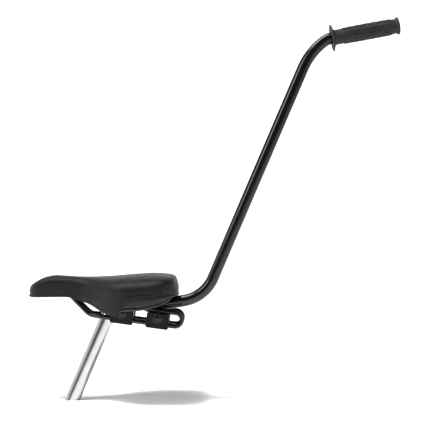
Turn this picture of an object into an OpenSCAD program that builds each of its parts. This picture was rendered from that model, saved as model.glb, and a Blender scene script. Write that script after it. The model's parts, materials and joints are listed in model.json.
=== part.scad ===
// Child's bicycle saddle on a short seat post, with a parent's push handle.
// The handle is a bent tube, held on the saddle rails by a second saddle clamp.
// Origin: centre of the seat post's lower end. +Z is up, -X is the riding direction.

/* [Seat post] */
// Outside diameter of the seat post
post_d = 22.2; // [19:0.1:27.2]
// Wall thickness of the seat post
post_wall = 1.8; // [1.2:0.1:3]
// Length of the seat post along its axis
post_len = 166; // [120:1:300]
// Lean of the seat post from vertical, in degrees
post_lean = 23.1; // [12:0.1:28]
// Distance from the top of the post down to the middle of its clamp
clamp_drop = 11.5; // [11:0.5:30]
// Reduction in diameter of the post's neck, where the clamp holds it
neck_step = 0.4; // [0.3:0.1:1]

/* [Saddle clamps] */
// Diameter of the clamp bolts
bolt_d = 8; // [6:0.5:8]
// Distance from the face of the clamped tube to the bolt's axis
bolt_gap = 8.2; // [7:0.1:10]
// Length of the clamp plates along the rails
plate_len = 34; // [26:1:40]
// Height of the clamp plates above the bolt's axis
plate_rise = 6.5; // [5.5:0.1:6.5]
// Distance from the bolt's axis down to the rails
rail_drop = 10; // [9:0.1:10]
// Width of the collar band along the tube
band_w = 21; // [16:1:24]
// Thickness of the collar band
band_t = 2.9; // [2:0.1:3.3]
// Distance along the rails between the two clamp bolts
clamp_spacing = 54; // [50:1:64]
// Washer diameter
washer_d = 17; // [14:0.5:18]
// Nut size across the flats
nut_af = 13; // [10:0.5:14]

/* [Rails] */
// Diameter of the rail wire
rail_d = 7; // [6:0.1:7]
// Spacing of the rails, centre to centre, through the clamps
rail_gauge = 44; // [42:0.5:48]
// Slope of the clamped run of the rails, in degrees down to the rear
rail_slope = 7.7; // [0:0.1:10]
// Length of the straight rail behind the front clamp bolt
rail_run = 80; // [78:1:96]
// Height of the hairpin loop at the rear, centre to centre of the wire
loop_h = 20.4; // [20.4:0.1:24]

/* [Saddle] */
// Overall length of the saddle
saddle_len = 228; // [190:1:274]
// Overall width of the saddle
saddle_w = 134; // [118:1:170]
// Distance from the front clamp bolt back to the rear end of the saddle
saddle_setback = 84.3; // [80:0.5:100]
// Height of the saddle's highest point above the front clamp bolt
saddle_rise = 59.2; // [52:0.2:72]
// Thickness of the cover
cover_t = 1.6; // [1:0.1:2.5]
// Thickness of the foam over the top
foam_t = 12.4; // [6:0.2:16]
// Thickness of the foam down the sides
foam_side_t = 2.4; // [1.5:0.1:4]
// Wall thickness of the moulded base
base_wall = 3; // [2:0.1:4]

/* [Handle] */
// Outside diameter of the handle tube
tube_d = 18; // [15:0.1:22.2]
// Wall thickness of the handle tube
tube_wall = 1.5; // [1:0.1:2.5]
// Rise of the handle's lower end, in degrees from level
stub_rise = 9.5; // [4:0.5:12]
// Length of the handle's lower end in front of its clamp bolt
stub_front = 17; // [13:0.5:20]
// Length from the handle's clamp to the corner of its lower bend
stub_len = 74.4; // [72:0.2:90]
// Length of the long leg between the corners of the bends
leg_len = 405.5; // [250:0.5:560]
// Lean of the long leg from vertical, in degrees
leg_lean = 23.2; // [10:0.1:35]
// Centre-line radius of the lower bend
lower_bend_r = 58; // [40:1:62]
// Centre-line radius of the upper bend
upper_bend_r = 104; // [60:1:106]
// Length of the handle end, from its corner to the tip of the tube
end_len = 109; // [90:1:150]
// Rise of the handle end, in degrees from level
end_rise = 10.5; // [0:0.5:25]

/* [Grip] */
// Diameter of the grip at its middle
grip_d = 24; // [22:0.2:32]
// Diameter of the grip's inner flange
flange_d = 41; // [34:0.5:50]
// Diameter of the grip's outer rim
rim_d = 27; // [25.5:0.5:34]
// Length of the grip
grip_len = 104.5; // [85:0.5:140]

/* [Fits] */
// Radial clearance of a tube that turns in its collar
turn_fit = 0.05; // [0.02:0.01:0.1]
// Radial clearance of a bolt in its hole
bolt_fit = 0.3; // [0.2:0.05:0.5]
// Radial clearance of a rail in its groove
rail_fit = 0.15; // [0.1:0.05:0.3]
// Gap between flat faces that slide on each other
face_gap = 0.3; // [0.2:0.05:0.5]

/* [Hidden] */
$fn = 64;

left = 1;
right = -1;
black = [0.05, 0.05, 0.055];
satin_silver = [0.78, 0.78, 0.79];
dark_zinc = [0.16, 0.16, 0.17];
rubber_grey = [0.1, 0.1, 0.1];
moulded_black = [0.13, 0.13, 0.13];
foam_grey = [0.45, 0.45, 0.42];

// Directions in the X-Z plane, from an angle of lean or slope
function down_slope(a) = [cos(a), 0, -sin(a)];
function up_slope(a) = [cos(a), 0, sin(a)];
function leaning(a) = [sin(a), 0, cos(a)];

post_r = post_d / 2;
tube_r = tube_d / 2;
rail_r = rail_d / 2;
post_neck_r = (post_d - neck_step) / 2;
rail_y = rail_gauge / 2;

// Bolt axes: each bolt runs along Y beside the tube that its collar holds
front_bolt_at = (post_len - clamp_drop) * leaning(post_lean)
    + (post_r + bolt_gap) * down_slope(post_lean);
rear_bolt_at = front_bolt_at + clamp_spacing * down_slope(rail_slope);

// Layers of a clamp, as distances from the middle plane
ear_slot = 1.6;
ear_face = 10.2;
boss_face = ear_face + face_gap;
boss_r = 9;
band_clearance = 0.7;
inner_back = max(post_r, tube_r) + turn_fit + band_t + band_clearance;
inner_front = rail_y - rail_fit;
outer_back = rail_y + rail_fit;
outer_plate_t = 5.8;
outer_front = outer_back + outer_plate_t;
rim_height = 0.9;
rim_front = outer_front + rim_height;
washer_t = 1.6;
nut_t = 6.5;
bolt_beyond_nut = 1.8;
bolt_end = rim_front + washer_t + nut_t + bolt_beyond_nut;
lip_t = 2.8;
lip_bottom = rail_drop + rail_r + lip_t;
lip_reach = 17.5;
plate_corner = 3;

// Rail wire, in the frame of the front clamp bolt
rail_along = down_slope(rail_slope);
rail_up = leaning(rail_slope);
// The saddle sits higher over a handle tube that is fatter than this
level_tube_d = 18;
saddle_lift = max(0, tube_d - level_tube_d);
nose_socket = [-87.5, 8.5, 33 + saddle_lift];
nose_bend = [-50.8, 13, -3.7];
rail_taper_start = -33;
rear_socket = [6, 38, 17 + saddle_lift];
rail_flare_start = 34;
nose_bend_r = 18;
taper_bend_r = 24;
flare_bend_r = 30;
loop_play = 0.1;
loop_r = loop_h / 2 - loop_play;

function on_rail(s, up) = [0, rail_y, 0] + s * rail_along + (up - rail_drop) * rail_up;

rail_path = [
    nose_socket,
    nose_bend,
    on_rail(rail_taper_start, 0),
    on_rail(rail_run + loop_h / 2, 0),
    on_rail(rail_run + loop_h / 2, loop_h),
    on_rail(rail_flare_start, loop_h),
    rear_socket
];
rail_bends = [0, nose_bend_r, taper_bend_r, loop_r, loop_r, flare_bend_r, 0];

// Handle tube, in the frame of the rear clamp bolt
stub_dir = up_slope(stub_rise);
stub_base = (tube_r + bolt_gap) * leaning(-stub_rise);
neck_rise = 39;
neck_len = 35;
neck_bend_r = 28;
lower_corner = stub_base + stub_len * stub_dir;
upper_corner = lower_corner + leg_len * leaning(leg_lean);
neck_corner = upper_corner + neck_len * up_slope(neck_rise);
handle_end = neck_corner + end_len * up_slope(end_rise);
handle_path = [stub_base - stub_front * stub_dir, lower_corner, upper_corner, neck_corner, handle_end];
handle_bends = [0, lower_bend_r, upper_bend_r, neck_bend_r, 0];

// Saddle outlines: the first value is the share of the length from the nose.
// Width as a share of the half width
plan_line = [
    [0, 0.27], [0.07, 0.29], [0.2, 0.295], [0.3, 0.31], [0.36, 0.36], [0.42, 0.47], [0.48, 0.63],
    [0.54, 0.8], [0.6, 0.92], [0.66, 0.985], [0.74, 1], [0.84, 1], [0.92, 0.97], [1, 0.93]
];
// Drop of the middle line below the highest point
crown_line = [
    [0, 24], [0.015, 18.5], [0.055, 12.3], [0.095, 7.6], [0.135, 4.9], [0.175, 3.6], [0.25, 4.4],
    [0.335, 5.7], [0.42, 6], [0.5, 5.4], [0.58, 4.1], [0.66, 2.4], [0.74, 1.2], [0.82, 0.2],
    [0.88, 0.5], [0.92, 1.4], [0.96, 3.2], [0.98, 6.4], [1, 18]
];
// Drop of the shoulder below the middle line
shoulder_line = [
    [0, 6], [0.1, 7.5], [0.175, 8.7], [0.335, 10.2], [0.48, 13], [0.62, 18.5], [0.73, 20.5],
    [0.88, 16.5], [0.96, 10], [1, 6]
];
// Height of the cover's lower edge above the front clamp bolt
cover_edge_line = [
    [0, 23.2], [0.255, 23.7], [0.295, 22.2], [0.39, 15.7], [0.435, 11.7], [0.48, 6.2], [0.515, 2.7],
    [0.54, 0.7], [0.57, -0.8], [0.6, -0.4], [0.62, 4], [0.65, 11.5], [0.69, 17.5], [0.74, 20.5],
    [0.82, 21.7], [0.89, 24], [0.96, 26], [1, 26.2]
];
// Height of the base's lower edge above the front clamp bolt, behind the cover's lobes
base_edge_line = [
    [0.6, 1], [0.64, 5], [0.705, 6.7], [0.757, 6.9], [0.82, 9.7], [0.874, 12.2], [0.922, 16.2],
    [0.96, 20.6], [0.985, 25], [1, 26.6]
];
base_edge_start = 0.6;
edge_step = 1;
nose_round = 0.075;
rear_round = 0.12;
rear_power = 2.2;
end_depth = 8;
shoulder_above_edge = 3;
least_half_width = 0.8;
stations = 42;
crown_steps = 7;
wall_steps = 3;

function segment_at(pts, x, i = 0) =
    (i >= len(pts) - 2 || x <= pts[i + 1][0]) ? i : segment_at(pts, x, i + 1);
function rise_at(pts, i) =
    let (a = pts[max(i - 1, 0)], b = pts[min(i + 1, len(pts) - 1)])
    (b[1] - a[1]) / (b[0] - a[0]);
function smooth_at(pts, x) =
    let (
        i = segment_at(pts, x),
        h = pts[i + 1][0] - pts[i][0],
        t = (x - pts[i][0]) / h,
        near = pts[i][1] * (1 + 2 * t) * pow(1 - t, 2) + rise_at(pts, i) * h * t * pow(1 - t, 2),
        far = pts[i + 1][1] * t * t * (3 - 2 * t) + rise_at(pts, i + 1) * h * t * t * (t - 1)
    )
    near + far;

// Stations lie closer together at the nose and the rear
function station(i) = (i / stations + (1 - cos(180 * i / stations)) / 2) / 2;
function half_width(u) =
    let (
        nose = u < nose_round ? sqrt(1 - pow(1 - u / nose_round, 2)) : 1,
        t = max(0, (u - 1 + rear_round) / rear_round),
        rear = pow(max(0, 1 - pow(t, rear_power)), 1 / rear_power)
    )
    saddle_w / 2 * smooth_at(plan_line, u) * nose * rear;
function bezier(a, b, c, d, t) =
    a * pow(1 - t, 3) + 3 * b * t * pow(1 - t, 2) + 3 * c * t * t * (1 - t) + d * t * t * t;
function edge_height(u, is_base) =
    !is_base ? smooth_at(cover_edge_line, u)
    : u < base_edge_start ? smooth_at(cover_edge_line, u) + edge_step
    : smooth_at(base_edge_line, u);

// One half of a cross-section, from the crown out and down to the lower edge
function half_section(u, side_in, top_in, is_base) =
    let (
        w = max(half_width(u) - side_in, least_half_width),
        cover_edge = smooth_at(cover_edge_line, u),
        full_top = saddle_rise - smooth_at(crown_line, u) - top_in,
        top = max(full_top, cover_edge + end_depth - top_in / 4),
        drop = smooth_at(shoulder_line, u),
        edge = edge_height(u, is_base),
        shoulder = max(top - 1.2 * drop, cover_edge + shoulder_above_edge),
        crown = [
            for (k = [0:crown_steps])
                bezier([0, top], [0.5 * w, top], [w, top - 0.25 * drop], [w, shoulder], k / crown_steps)
        ],
        wall = [for (k = [1:wall_steps]) [w, shoulder + (edge - shoulder) * k / wall_steps]]
    )
    concat(crown, wall);
// The whole section, from the lower edge at -Y over the crown to the edge at +Y
function ring(u, side_in, top_in, is_base) =
    let (
        half = half_section(u, side_in, top_in, is_base),
        n = len(half),
        x = saddle_setback - side_in - (saddle_len - 2 * side_in) * (1 - u)
    )
    [for (k = [-(n - 1):n - 1]) [x, sign(k) * half[abs(k)][0], half[abs(k)][1]]];
function skin_points(side_in, top_in, is_base) =
    [for (i = [0:stations]) each ring(station(i), side_in, top_in, is_base)];

ring_n = 2 * (crown_steps + wall_steps) + 1;
skin_n = ring_n * (stations + 1);
function flipped(face) = [for (k = [len(face) - 1:-1:0]) face[k]];
// A flat end across one ring, as a ladder of triangles from edge to edge
half_n = (ring_n - 1) / 2;
end_faces = [
    for (k = [0:half_n - 1], half = [0, 1])
        if (half == 1 || k < half_n - 1)
            half == 0 ? [k, k + 1, ring_n - 2 - k] : [k, ring_n - 2 - k, ring_n - 1 - k]
];
// Faces of one skin with its two ends, seen from above
skin_faces = concat(
    [for (i = [0:stations - 1], k = [0:ring_n - 2], half = [0, 1])
        let (a = i * ring_n + k, b = a + 1, c = b + ring_n, d = a + ring_n)
        half == 0 ? [a, b, c] : [a, c, d]],
    [for (f = end_faces) flipped(f)],
    [for (f = end_faces) [for (k = f) k + stations * ring_n]]
);
// The loop of points round the lower edge
edge_loop = concat(
    [for (i = [0:stations]) i * ring_n],
    [for (i = [stations:-1:0]) i * ring_n + ring_n - 1]
);

// A shell between an outer and an inner skin, open below
module saddle_shell(outer, inner, is_base) {
    n = len(edge_loop);
    points = concat(
        skin_points(outer[0], outer[1], is_base),
        skin_points(inner[0], inner[1], is_base)
    );
    inside = [for (f = skin_faces) [for (k = flipped(f)) k + skin_n]];
    rim = [
        for (k = [0:n - 1], half = [0, 1])
            let (a = edge_loop[k], b = edge_loop[(k + 1) % n])
            half == 0 ? [a, b, b + skin_n] : [a, b + skin_n, a + skin_n]
    ];
    polyhedron(points = points, faces = concat(skin_faces, inside, rim), convexity = 6);
}

// The whole volume under one skin, closed level with its lower edge
module saddle_volume(outer, is_base) {
    floor_faces = [
        for (i = [0:stations - 1], half = [0, 1])
            let (a = i * ring_n, b = a + ring_n - 1, c = b + ring_n, d = a + ring_n)
            half == 0 ? [a, c, b] : [a, d, c]
    ];
    points = skin_points(outer[0], outer[1], is_base);
    polyhedron(points = points, faces = concat(skin_faces, floor_faces), convexity = 6);
}

function unit(v) = v / norm(v);
function columns(x, y, z, at) = [
    [x[0], y[0], z[0], at[0]],
    [x[1], y[1], z[1], at[1]],
    [x[2], y[2], z[2], at[2]],
    [0, 0, 0, 1]
];

// A round bar from one point to another
module bar(a, b, d) {
    z = unit(b - a);
    x = unit(cross([0.1, 1, 0.2], z));
    multmatrix(columns(x, cross(z, x), z, a)) cylinder(h = norm(b - a), d = d);
}

// A round bar along a path, with a bend of its own radius at each corner.
// A bend swells by a hair, and the straight lengths run a little way into it.
module bent_bar(path, bends, d) {
    bend_swell = 0.2;
    run_in = 0.5;
    last = len(path) - 1;
    dirs = [for (i = [0:last - 1]) unit(path[i + 1] - path[i])];
    turns = [for (i = [0:last]) i == 0 || i == last ? 0 : acos(dirs[i - 1] * dirs[i])];
    cuts = [for (i = [0:last]) bends[i] * tan(turns[i] / 2)];
    for (i = [0:last - 1]) {
        a = path[i] + (cuts[i] - (i > 0 ? run_in : 0)) * dirs[i];
        b = path[i + 1] - (cuts[i + 1] - (i < last - 1 ? run_in : 0)) * dirs[i];
        bar(a, b, d);
    }
    for (i = [1:last - 1]) {
        inward = unit(dirs[i] - (dirs[i - 1] * dirs[i]) * dirs[i - 1]);
        centre = path[i] - cuts[i] * dirs[i - 1] + bends[i] * inward;
        multmatrix(columns(-inward, dirs[i - 1], cross(-inward, dirs[i - 1]), centre))
            rotate_extrude(angle = turns[i]) translate([bends[i], 0]) circle(d = d + bend_swell);
    }
}

// A flat outline in X-Z, given thickness along Y from y0 to y1
module along_y(y0, y1) {
    translate([0, y1, 0]) rotate([90, 0, 0]) linear_extrude(y1 - y0) children();
}

// A rectangle with round corners, from its lower left to its upper right corner
module round_rect(low, high, r) {
    translate(low + [r, 0]) square([high[0] - low[0] - 2 * r, high[1] - low[1]]);
    translate(low + [0, r]) square([high[0] - low[0], high[1] - low[1] - 2 * r]);
    for (x = [low[0] + r, high[0] - r], y = [low[1] + r, high[1] - r])
        translate([x, y]) circle(r, $fn = 32);
}

// A band round a tube, with two ears that reach to the bolt.
// The tube's axis is Z and the bolt runs along Y.
module collar(held_r, reach) {
    bore_r = held_r + turn_fit;
    ear_r = band_w / 2;
    difference() {
        union() {
            cylinder(h = band_w, r = bore_r + band_t, center = true);
            along_y(-ear_face, ear_face) {
                translate([0, -ear_r]) square([reach, band_w]);
                translate([reach, 0]) circle(ear_r);
            }
        }
        cylinder(h = band_w + 2, r = bore_r, center = true);
        translate([0, -ear_slot, -band_w]) cube([reach + 2 * ear_r, 2 * ear_slot, 2 * band_w]);
        translate([reach, 0, 0]) along_y(-ear_face - 1, ear_face + 1) circle(bolt_d / 2 + bolt_fit);
    }
}

// The plate between the collar's ear and the rail, in the frame of its bolt
module inner_plate(side) {
    low = [-plate_len / 2, -rail_drop - rail_r];
    high = [plate_len / 2, plate_rise - 1];
    mirror([0, side == left ? 0 : 1, 0]) difference() {
        union() {
            along_y(boss_face, inner_back + 1) intersection() {
                circle(boss_r);
                round_rect(low, high, plate_corner);
            }
            along_y(inner_back, inner_front) round_rect(low, high, plate_corner);
        }
        along_y(0, bolt_end) circle(bolt_d / 2 + bolt_fit);
        rail_groove();
    }
}

// The plate outside the rail, with a lip that hooks under it
module outer_plate(side) {
    low = [-plate_len / 2, -lip_bottom];
    high = [plate_len / 2, plate_rise];
    rim = 2.2;
    boss = 10.2;
    lip_corner = 1.2;
    mirror([0, side == left ? 0 : 1, 0]) difference() {
        union() {
            along_y(outer_back, outer_front) round_rect(low, high, plate_corner);
            along_y(outer_back, rim_front) difference() {
                round_rect(low, high, plate_corner);
                round_rect(low + [rim, rim], high - [rim, rim], plate_corner - 1);
            }
            along_y(outer_back, rim_front) intersection() {
                circle(boss);
                round_rect(low, high, plate_corner);
            }
            along_y(lip_reach, outer_back + 1)
                round_rect(low, [plate_len / 2, -rail_drop - rail_r - face_gap], lip_corner);
        }
        along_y(0, bolt_end) circle(bolt_d / 2 + bolt_fit);
        rail_groove();
    }
}

module rail_groove() {
    translate([0, rail_y, -rail_drop]) rotate([0, 90, 0])
        cylinder(h = plate_len + 2, r = rail_r + rail_fit, center = true);
}

module clamp_bolt() {
    chamfer = 0.8;
    core_r = bolt_d / 2;
    rotate([90, 0, 0]) rotate_extrude() polygon([
        [0, -bolt_end], [core_r - chamfer, -bolt_end], [core_r, chamfer - bolt_end],
        [core_r, bolt_end - chamfer], [core_r - chamfer, bolt_end], [0, bolt_end]
    ]);
}

// A pair of nuts, one at each end of the bolt
module clamp_nuts() {
    nut_back = rim_front + washer_t;
    chamfer = 0.7;
    face_r = nut_af / 2 - 0.2;
    skirt_r = nut_af / 2 + 1.2;
    half_t = nut_t / 2;
    for (side = [left, right])
        translate([0, side * (nut_back + nut_t / 2), 0]) rotate([90, 0, 0]) difference() {
            intersection() {
                cylinder(h = nut_t, d = nut_af / cos(30), center = true, $fn = 6);
                rotate_extrude() polygon([
                    [0, -half_t], [face_r, -half_t], [skirt_r, chamfer - half_t],
                    [skirt_r, half_t - chamfer], [face_r, half_t], [0, half_t]
                ]);
            }
            cylinder(h = nut_t + 2, d = bolt_d, center = true);
        }
}

module clamp_washers() {
    hole_d = bolt_d + 0.4;
    for (side = [left, right])
        translate([0, side * (rim_front + washer_t / 2), 0]) rotate([90, 0, 0]) difference() {
            cylinder(h = washer_t, d = washer_d, center = true);
            cylinder(h = washer_t + 2, d = hole_d, center = true);
        }
}

module at_front_bolt() {
    translate(front_bolt_at) children();
}

module at_rear_bolt() {
    translate(rear_bolt_at) children();
}

// The clamp plates follow the slope of the rails
module on_rails() {
    rotate([0, rail_slope, 0]) children();
}

module seat_post() {
    edge = 0.8;
    below = post_d;
    bore_r = post_r - post_wall;
    bare_below_band = 1.5;
    neck_start = post_len - clamp_drop - band_w / 2 - bare_below_band;
    color(satin_silver) difference() {
        rotate([0, post_lean, 0]) rotate_extrude() polygon([
            [bore_r, -below], [post_r, -below], [post_r, neck_start - neck_step],
            [post_neck_r, neck_start], [post_neck_r, post_len - edge],
            [post_neck_r - edge, post_len], [bore_r, post_len]
        ]);
        translate([0, 0, -2 * below]) cube([8 * below, 4 * below, 4 * below], center = true);
    }
}

module front_collar() {
    color(black) at_front_bolt() rotate([0, post_lean, 0])
        translate([-(post_r + bolt_gap), 0, 0]) collar(post_neck_r, post_r + bolt_gap);
}

module rear_collar() {
    color(black) at_rear_bolt() rotate([0, 90 - stub_rise, 0])
        translate([-(tube_r + bolt_gap), 0, 0]) collar(tube_r, tube_r + bolt_gap);
}

module front_bolt() {
    color(dark_zinc) at_front_bolt() clamp_bolt();
}

module rear_bolt() {
    color(dark_zinc) at_rear_bolt() clamp_bolt();
}

module front_nuts() {
    color(dark_zinc) at_front_bolt() on_rails() clamp_nuts();
}

module rear_nuts() {
    color(dark_zinc) at_rear_bolt() on_rails() clamp_nuts();
}

module front_washers() {
    color(dark_zinc) at_front_bolt() clamp_washers();
}

module rear_washers() {
    color(dark_zinc) at_rear_bolt() clamp_washers();
}

module front_inner_plate(side) {
    color(black) at_front_bolt() on_rails() inner_plate(side);
}

module front_outer_plate(side) {
    color(black) at_front_bolt() on_rails() outer_plate(side);
}

module rear_inner_plate(side) {
    color(black) at_rear_bolt() on_rails() inner_plate(side);
}

module rear_outer_plate(side) {
    color(black) at_rear_bolt() on_rails() outer_plate(side);
}

module rail(side) {
    color(black) at_front_bolt() mirror([0, side == left ? 0 : 1, 0])
        bent_bar(rail_path, rail_bends, rail_d);
}

module lifted() {
    translate([0, 0, saddle_lift]) children();
}

cover_inner = [cover_t, cover_t];
pad_inner = cover_inner + [foam_side_t, foam_t];
base_inner = pad_inner + [base_wall, base_wall];

// The moulded base: a shell with a boss for each end of the rails
module saddle_base() {
    nose_boss_low = [-104, -14, 24.6];
    nose_boss_size = [34, 28, 36];
    rear_boss_size = [26, 12.8, 60];
    rear_boss_low = 10.6;
    rear_boss_mid = rear_boss_low + rear_boss_size[2] / 2;
    boss_inset = [1, 1];
    socket_d = rail_d + 2 * rail_fit;
    socket_end = 0.5;
    last = len(rail_path) - 1;
    nose_hole = rail_path[0] + socket_end * unit(rail_path[0] - rail_path[1]);
    rear_hole = rail_path[last] + socket_end * unit(rail_path[last] - rail_path[last - 1]);
    color(moulded_black) at_front_bolt() difference() {
        lifted() {
            saddle_shell(pad_inner, base_inner, true);
            intersection() {
                saddle_volume(pad_inner + boss_inset, true);
                union() {
                    translate(nose_boss_low) cube(nose_boss_size);
                    for (side = [left, right])
                        translate([rear_socket[0], side * rear_socket[1], rear_boss_mid])
                            cube(rear_boss_size, center = true);
                }
            }
        }
        for (side = [0, 1]) mirror([0, side, 0]) {
            bar(nose_hole, rail_path[1], socket_d);
            bar(rear_hole, rail_path[last - 1], socket_d);
        }
    }
}

module saddle_pad() {
    color(foam_grey) at_front_bolt() lifted() saddle_shell(cover_inner, pad_inner, false);
}

module saddle_cover() {
    color(black) at_front_bolt() lifted() saddle_shell([0, 0], cover_inner, false);
}

// Staples that hold the cover's hem to the inside of the base, one row down each side
module cover_staples() {
    first = 0.66;
    last = 0.88;
    count = 5;
    staple = [9, 0.8, 1.1];
    above_edge = 5;
    from_wall = 0.3;
    color(satin_silver) at_front_bolt() lifted()
        for (side = [left, right], i = [0:count - 1]) {
            u = first + (last - first) * i / (count - 1);
            x = saddle_setback - base_inner[0] - (saddle_len - 2 * base_inner[0]) * (1 - u);
            y = half_width(u) - base_inner[0] - from_wall;
            z = edge_height(u, true) + above_edge;
            translate([x, side * y, z]) cube(staple, center = true);
        }
}

module handle_tube() {
    bore_path = [
        for (i = [0:len(handle_path) - 1])
            i == 0 ? handle_path[0] - stub_dir
            : i == len(handle_path) - 1 ? handle_end + up_slope(end_rise)
            : handle_path[i]
    ];
    color(black) at_rear_bolt() difference() {
        bent_bar(handle_path, handle_bends, tube_d);
        bent_bar(bore_path, handle_bends, tube_d - 2 * tube_wall);
    }
}

// The grip slides over the tube's end, and its own end is closed
module handle_grip() {
    end_wall = 2.6;
    bore_len = grip_len - end_wall;
    r = grip_d / 2;
    color(rubber_grey) at_rear_bolt() translate(handle_end) rotate([0, 90 - end_rise, 0])
        translate([0, 0, -bore_len]) rotate_extrude() polygon([
            [tube_r, 0], [flange_d / 2 - 0.6, 0], [flange_d / 2, 0.7], [flange_d / 2 - 0.4, 1.8],
            [r + 4, 3], [r + 0.4, 4.6], [r - 0.4, 7], [r - 0.4, 15], [r - 0.1, 25], [r, grip_len / 2],
            [r - 0.2, grip_len - 25], [r - 0.6, grip_len - 12], [r - 1, grip_len - 8],
            [r - 0.6, grip_len - 5.5], [rim_d / 2 - 0.5, grip_len - 3], [rim_d / 2, grip_len - 1.6],
            [rim_d / 2 - 0.7, grip_len - 0.3], [rim_d / 2 - 3, grip_len], [0, grip_len],
            [0, bore_len], [tube_r, bore_len]
        ]);
}

seat_post();
front_collar();
front_bolt();
front_nuts();
front_washers();
front_inner_plate(left);  // front_inner_plate_left
front_inner_plate(right);  // front_inner_plate_right
front_outer_plate(left);  // front_outer_plate_left
front_outer_plate(right);  // front_outer_plate_right
rear_collar();
rear_bolt();
rear_nuts();
rear_washers();
rear_inner_plate(left);  // rear_inner_plate_left
rear_inner_plate(right);  // rear_inner_plate_right
rear_outer_plate(left);  // rear_outer_plate_left
rear_outer_plate(right);  // rear_outer_plate_right
rail(left);  // rail_left
rail(right);  // rail_right
saddle_base();
saddle_pad();
saddle_cover();
cover_staples();
handle_tube();
handle_grip();
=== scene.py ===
import json
import math

import bmesh
import bpy
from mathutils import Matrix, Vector, noise


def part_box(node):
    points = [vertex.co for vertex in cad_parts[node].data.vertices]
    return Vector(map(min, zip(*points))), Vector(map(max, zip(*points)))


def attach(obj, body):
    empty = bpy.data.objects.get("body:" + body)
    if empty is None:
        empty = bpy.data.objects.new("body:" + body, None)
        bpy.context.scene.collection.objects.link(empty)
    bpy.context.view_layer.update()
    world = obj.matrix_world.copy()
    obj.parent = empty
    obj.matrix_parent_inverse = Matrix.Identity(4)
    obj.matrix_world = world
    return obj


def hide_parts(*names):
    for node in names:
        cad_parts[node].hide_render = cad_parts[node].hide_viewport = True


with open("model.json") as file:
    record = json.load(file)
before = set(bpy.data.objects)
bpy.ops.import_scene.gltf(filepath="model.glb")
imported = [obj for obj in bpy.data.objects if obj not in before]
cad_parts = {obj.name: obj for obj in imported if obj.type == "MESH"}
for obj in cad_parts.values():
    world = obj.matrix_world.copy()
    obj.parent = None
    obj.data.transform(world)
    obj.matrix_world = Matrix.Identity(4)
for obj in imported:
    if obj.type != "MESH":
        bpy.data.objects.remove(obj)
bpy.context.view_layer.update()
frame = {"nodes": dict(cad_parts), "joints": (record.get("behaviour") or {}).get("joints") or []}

# ---------------------------------------------------------------- sizes, in metres and degrees

MM = 0.001
JOINTS = {j["name"]: j for j in frame["joints"]}
FRONT_BOLT = Vector(JOINTS["saddle_tilt"]["pos_m"])
REAR_BOLT = Vector(JOINTS["handle_tilt"]["pos_m"])
POST_AXIS = Vector(JOINTS["post_turn"]["axis"])
RAIL_ALONG = Vector(JOINTS["saddle_slide"]["axis"])
RAIL_UP = Vector((-RAIL_ALONG.z, 0, RAIL_ALONG.x))
STUB_DIR = Vector(JOINTS["handle_turn"]["axis"])
ACROSS = Vector((0, 1, 0))
# Points nearer to each other than this become one
MERGE = 1e-6

# Seat post, with lengths measured up from its foot
POST_R = 11.1 * MM
POST_WALL = 1.8 * MM
POST_LEN = 166 * MM
POST_NECK_R = 10.9 * MM
NECK_START = 142.5 * MM
NECK_SLOPE = 0.4 * MM
POST_EDGE = 0.8 * MM
POST_BORE_EDGE = 0.3 * MM
FOOT_ABOVE_CUT = 12 * MM
POST_STEPS = 128

# Left rail, with places measured from the front bolt
RAIL_R = 3.5 * MM
RAIL_Y = 22 * MM
RAIL_DROP = 10 * MM
RAIL_RUN = 80 * MM
LOOP_H = 20.4 * MM
NOSE_SOCKET = Vector((-87.5, 8.5, 33)) * MM
NOSE_BEND = Vector((-50.8, 13, -3.7)) * MM
TAPER_START = -33 * MM
FLARE_START = 34 * MM
REAR_SOCKET = Vector((6, 38, 17)) * MM
LOOP_R = LOOP_H / 2 - 0.1 * MM
# Bend radius at each corner of the wire, from the nose to the rear socket
RAIL_BENDS = [0, 18 * MM, 24 * MM, LOOP_R, LOOP_R, 30 * MM, 0]

SADDLE_LOW, SADDLE_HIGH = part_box("saddle_cover")
SADDLE_LEN = SADDLE_HIGH.x - SADDLE_LOW.x
SADDLE_HALF_W = (SADDLE_HIGH.y - SADDLE_LOW.y) / 2
COVER_T = 1.6 * MM
# How far each inner skin lies in from the side and from the top
COVER_IN = (COVER_T, COVER_T)
PAD_IN = (4 * MM, 14 * MM)
PAD_PLAY = 0.1 * MM
BASE_IN = (7 * MM, 17 * MM)

# Handle tube, with the lengths between its bends' corners and their slopes
TUBE_R = 9 * MM
TUBE_WALL = 1.5 * MM
TUBE_EDGE = 0.3 * MM
BOLT_GAP = 8.2 * MM
STUB_FRONT = 17 * MM
STUB_LEN = 74.4 * MM
LEG_LEN = 405.5 * MM
LEG_LEAN = 23.2
NECK_LEN = 35 * MM
NECK_RISE = 39
END_LEN = 109 * MM
END_RISE = 10.5
HANDLE_BENDS = [0, 58 * MM, 104 * MM, 28 * MM, 0]
TUBE_STEPS = 96

# Grip, whose outline is drawn in mm
GRIP_LEN = 104.5
GRIP_END_T = 2.6
GRIP_R = 12
FLANGE_R = 20.5
RIM_R = 13.5
GRIP_BODY = (7, 96)
GRIP_RING = 0.6
GRIP_STEPS = 336
# Raised pads of the grip, in metres
PADS_FROM, PADS_TO = 17 * MM, 92 * MM
PAD_COLUMNS = 14
PAD_PITCH = 12.4 * MM
PAD_RISE = 0.85 * MM

# Clamp bolts
BOLT_R = 4 * MM
THREAD_PITCH = 1.25 * MM
THREAD_DEPTH = 0.42 * MM
THREAD_RUN = 14 * MM
THREAD_RING = 0.16 * MM
BOLT_CHAMFER = 0.8 * MM
BOLT_STEPS = 48

# Camera's place in metres, and its lens and sensor in mm
CAMERA_AT = (0.218, -1.606, 0.282)
LENS, SENSOR = 87.9, 36

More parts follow.
